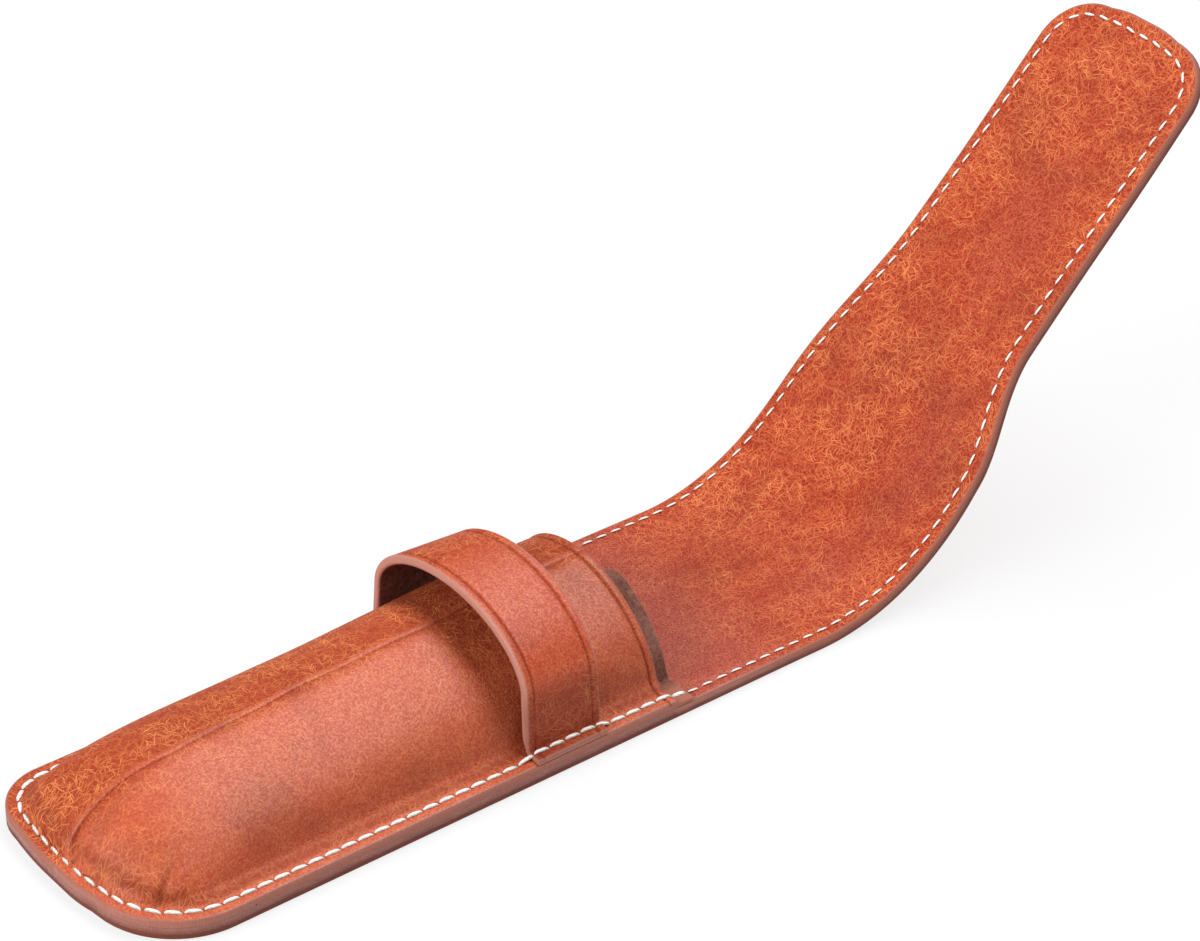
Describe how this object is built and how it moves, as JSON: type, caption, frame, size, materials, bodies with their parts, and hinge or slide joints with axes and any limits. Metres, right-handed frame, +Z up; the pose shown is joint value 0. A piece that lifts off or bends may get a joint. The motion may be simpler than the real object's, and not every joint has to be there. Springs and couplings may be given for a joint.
{
  "type": "flap pen case",
  "caption": "Leather pen case with a stitched back, a long folding flap, a wet-moulded front pocket split into bays by a divider, and a keeper strap for the flap's tongue.",
  "frame": {"origin": "middle of the pocket's mouth line, on the flat back face that the case rests on", "axes": "+X across the case towards the seam that holds the divider, +Y from the tail to the flap's tip, +Z up from the resting face"},
  "size_m": [0.0584, 0.2758, 0.0986],
  "materials": {
    "outer_leather": "vegetable-tanned, brushed grain with fine fibre scratches, burnished edge",
    "lining_leather": "vegetable-tanned, brushed grain with fine fibre scratches",
    "moulded_leather": "wet-moulded, smooth grain with a soft sheen",
    "flesh_leather": "rough flesh side",
    "thread": "waxed cream sewing thread"
  },
  "bodies": {
    "pocket": {"outer_back": "outer_leather", "lining_back": "lining_leather", "front_shell": "moulded_leather", "keeper_strap": "moulded_leather", "bay_divider": "flesh_leather", "thread_pocket": "thread"},
    "bend_1": {"outer_bend_1": "outer_leather", "lining_bend_1": "lining_leather", "thread_near_1": "thread", "thread_far_1": "thread"},
    "bend_2": {"outer_bend_2": "outer_leather", "lining_bend_2": "lining_leather", "thread_near_2": "thread", "thread_far_2": "thread"},
    "bend_3": {"outer_bend_3": "outer_leather", "lining_bend_3": "lining_leather", "thread_near_3": "thread", "thread_far_3": "thread"},
    "tongue": {"outer_tongue": "outer_leather", "lining_tongue": "lining_leather", "thread_tongue": "thread"}
  },
  "joints": [
    {"name": "flap_fold_1", "type": "hinge", "parent": "pocket", "child": "bend_1", "pos_m": [0, 0.04235, 0.00301], "axis": [1, 0, 0], "range_deg": [-11.5, 33.5]},
    {"name": "flap_fold_2", "type": "hinge", "parent": "bend_1", "child": "bend_2", "pos_m": [0, 0.05721, 0.00676], "axis": [1, 0, 0], "range_deg": [-11.5, 33.5]},
    {"name": "flap_fold_3", "type": "hinge", "parent": "bend_2", "child": "bend_3", "pos_m": [0, 0.07006, 0.01513], "axis": [1, 0, 0], "range_deg": [-11.5, 33.5]},
    {"name": "flap_fold_4", "type": "hinge", "parent": "bend_3", "child": "tongue", "pos_m": [0, 0.07983, 0.02699], "axis": [1, 0, 0], "range_deg": [-11.5, 33.5]}
  ],
  "couplings": [
    {"joint": "flap_fold_2", "follows": "flap_fold_1", "ratio": 1},
    {"joint": "flap_fold_3", "follows": "flap_fold_1", "ratio": 1},
    {"joint": "flap_fold_4", "follows": "flap_fold_1", "ratio": 1}
  ]
}
